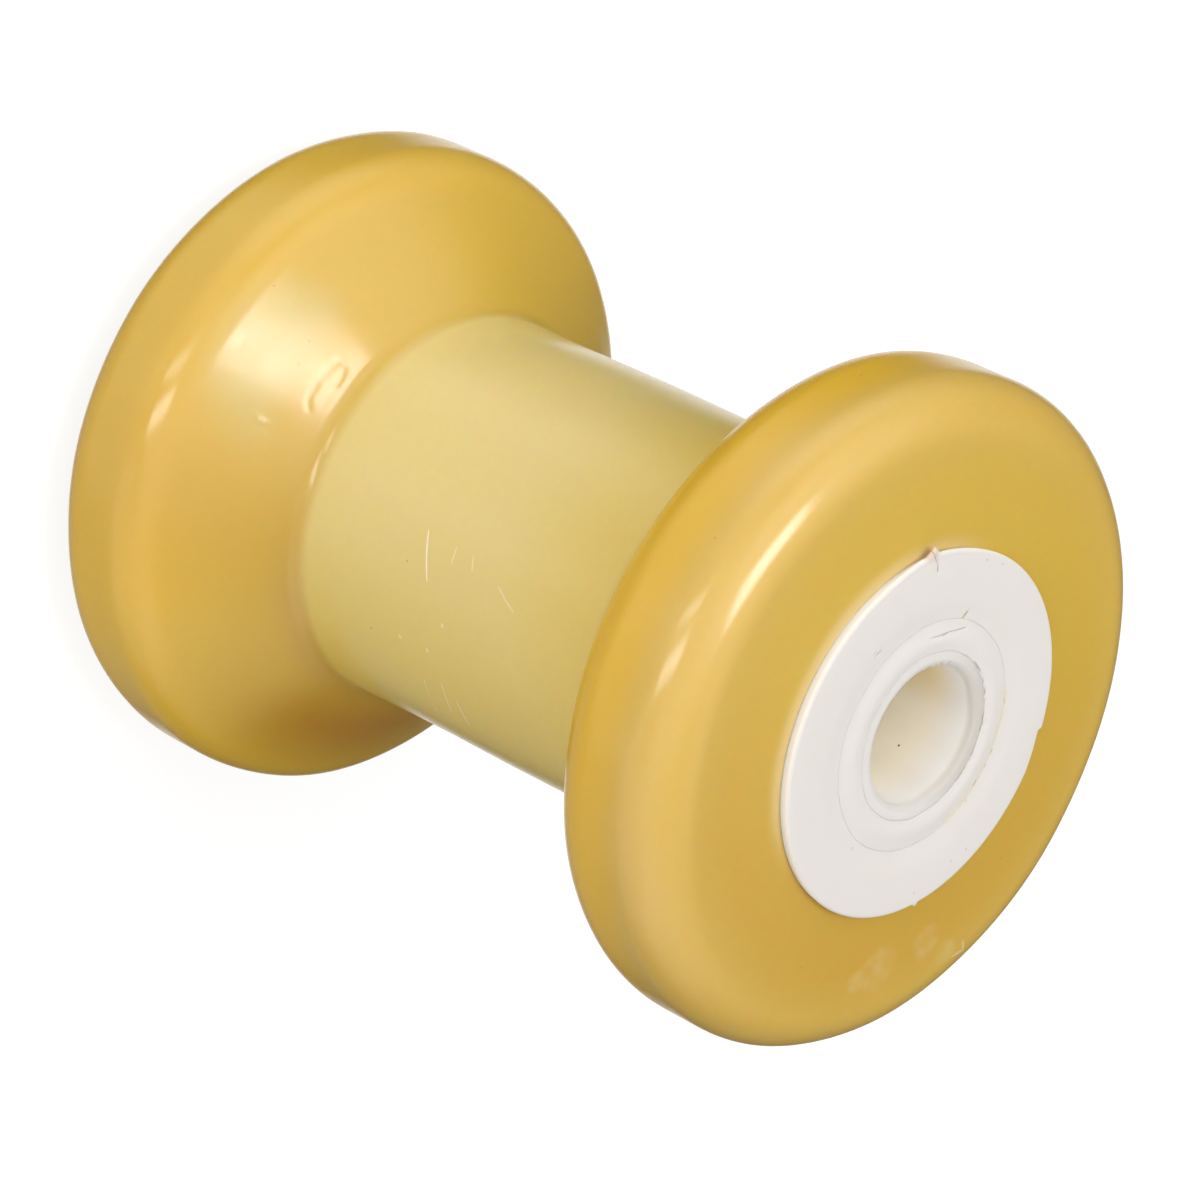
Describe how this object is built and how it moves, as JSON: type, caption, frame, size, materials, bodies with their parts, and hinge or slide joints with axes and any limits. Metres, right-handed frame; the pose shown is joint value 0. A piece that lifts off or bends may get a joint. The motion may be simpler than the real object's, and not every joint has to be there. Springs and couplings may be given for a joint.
{
  "type": "boat trailer roller",
  "caption": "Keel roller for a boat trailer: amber spool with two rounded flanges and a straight barrel, on a white hub with a through bore for a shaft.",
  "frame": {"origin": "middle of the roller, on the axis it rolls about", "axes": "+Z along the axis, up out of the end that the picture shows; the roller stands on its other end"},
  "size_m": [0.0798, 0.0798, 0.1044],
  "materials": {
    "amber_polyurethane": "satin translucent amber",
    "white_hub_plastic": "satin",
    "white_tube_plastic": "satin",
    "cream_sleeve_plastic": "satin"
  },
  "bodies": {
    "root": {"tread": "amber_polyurethane", "hub": "white_hub_plastic", "hub_tube": "white_tube_plastic", "bearing_sleeve": "cream_sleeve_plastic"}
  },
  "joints": []
}
